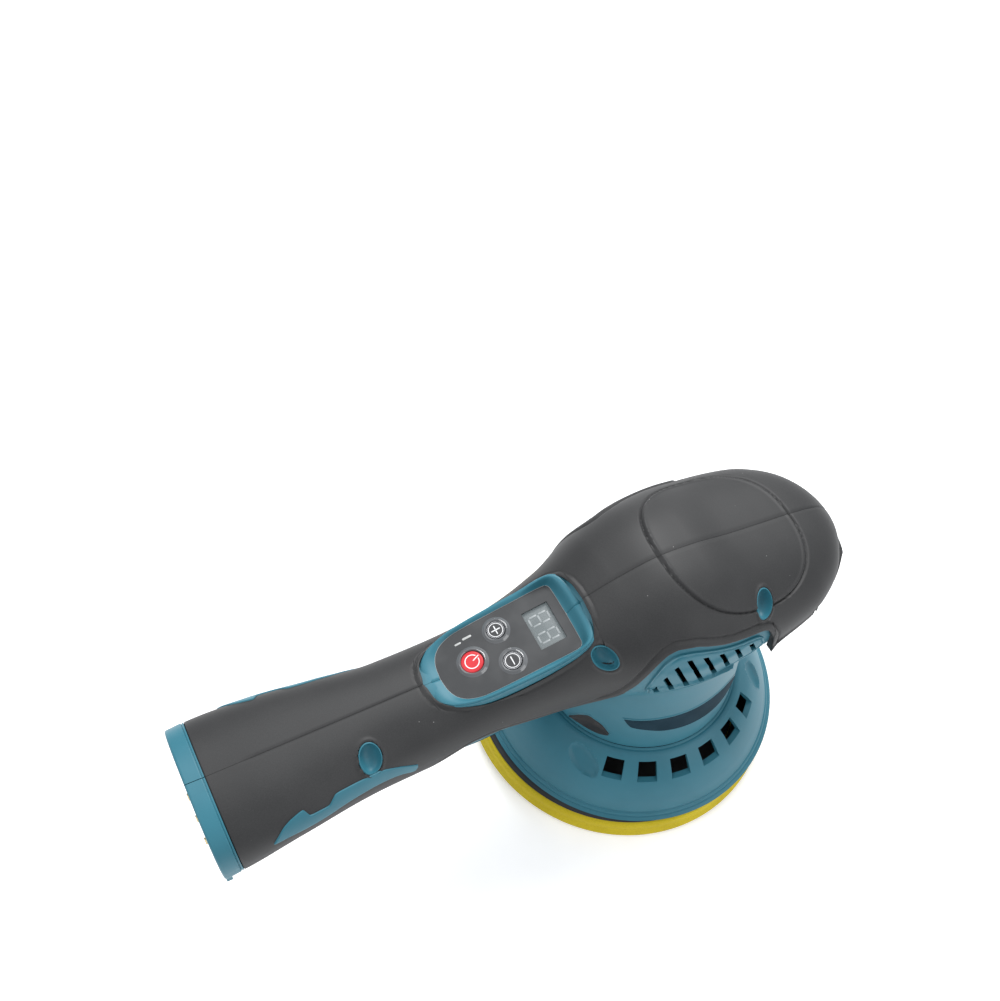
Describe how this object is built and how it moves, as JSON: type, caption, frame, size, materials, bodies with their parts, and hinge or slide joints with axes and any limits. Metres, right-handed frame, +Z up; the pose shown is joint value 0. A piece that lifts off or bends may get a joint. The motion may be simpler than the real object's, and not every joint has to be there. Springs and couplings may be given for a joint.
{
  "type": "dual action polisher",
  "caption": "Cordless random orbit polisher with a long grip, raised control panel, vented skirt and a round yellow hook-faced foam pad.",
  "frame": {"origin": "centre of the pad's working face at rest", "axes": "+X from the battery end towards the head, +Z up out of the pad, so +Y is the tool's left side"},
  "size_m": [0.3034, 0.15, 0.1421],
  "materials": {
    "shell": "satin moulded ABS, teal",
    "overmould": "fine matte texture, charcoal",
    "panel": "semi-gloss film",
    "window": "clear tinted window",
    "display": "segment module",
    "circuit_board": "solder mask",
    "switch_body": "moulded nylon",
    "power_key": "satin red",
    "clear_key": "glossy smoke",
    "lamp": "frosted",
    "badge": "satin slate",
    "screw_steel": "zinc plated",
    "laminations": "laminated steel",
    "copper": "enamelled copper",
    "cast_aluminium": "die cast",
    "bearing_steel": "ground steel",
    "magnet": "nickel plated",
    "counterweight_zinc": "cast zinc",
    "pad_plate": "glass filled nylon",
    "pad_foam": "yellow polyurethane foam",
    "hook_fabric": "hook and loop",
    "capacitor": "sleeved can",
    "contact_brass": "tinned brass",
    "wire_insulation": "silicone lead"
  },
  "bodies": {
    "body": {"housing_left": "shell", "housing_right": "shell", "grip_left": "overmould", "grip_right": "overmould", "control_panel": "panel", "display_window": "window", "segment_display": "display", "panel_circuit_board": "circuit_board", "tact_switches": "switch_body", "indicator_lights": "lamp", "badge_left": "badge", "badge_right": "badge", "inlay_left": "overmould", "inlay_right": "overmould", "skirt": "shell", "skirt_screws": "screw_steel", "housing_screws": "screw_steel", "stator_core": "laminations", "stator_coils": "copper", "bearing_bracket": "cast_aluminium", "bracket_screws": "screw_steel", "upper_bearing": "bearing_steel", "bearing_sleeve": "switch_body", "lower_bearing": "bearing_steel", "controller_tray": "switch_body", "controller_board": "circuit_board", "capacitors": "capacitor", "terminal_block": "switch_body", "terminal_blades": "contact_brass", "power_leads": "wire_insulation", "motor_leads": "wire_insulation", "panel_cable": "wire_insulation"},
    "rotor": {"rotor_core": "laminations", "rotor_magnets": "magnet", "motor_shaft": "bearing_steel", "cooling_fan": "switch_body", "counterweight": "counterweight_zinc", "spindle_bearing_upper": "bearing_steel", "spindle_bearing_lower": "bearing_steel", "bearing_spacer": "bearing_steel"},
    "pad": {"pad_spindle": "bearing_steel", "retaining_ring": "screw_steel", "pad_screw": "screw_steel", "pad_washer": "screw_steel", "backing_plate": "pad_plate", "foam_pad": "pad_foam", "hook_face": "hook_fabric"},
    "power_key": {"power_button": "power_key"},
    "plus_key": {"plus_button": "clear_key"},
    "minus_key": {"minus_button": "clear_key"}
  },
  "joints": [
    {"name": "spindle_spin", "type": "hinge", "parent": "body", "child": "rotor", "pos_m": [0.004, 0, 0.05], "axis": [0, 0, 1], "continuous": true},
    {"name": "pad_spin", "type": "hinge", "parent": "rotor", "child": "pad", "pos_m": [0, 0, 0.02], "axis": [0, 0, 1], "continuous": true},
    {"name": "power_press", "type": "slide", "parent": "body", "child": "power_key", "axis": [0.1754, 0, -0.9845], "range_m": [0, 0.0006], "stiffness_N_per_m": 2500, "springref_m": -0.001},
    {"name": "plus_press", "type": "slide", "parent": "body", "child": "plus_key", "axis": [0.1754, 0, -0.9845], "range_m": [0, 0.0005], "stiffness_N_per_m": 2000, "springref_m": -0.001},
    {"name": "minus_press", "type": "slide", "parent": "body", "child": "minus_key", "axis": [0.1754, 0, -0.9845], "range_m": [0, 0.0005], "stiffness_N_per_m": 2000, "springref_m": -0.001}
  ]
}
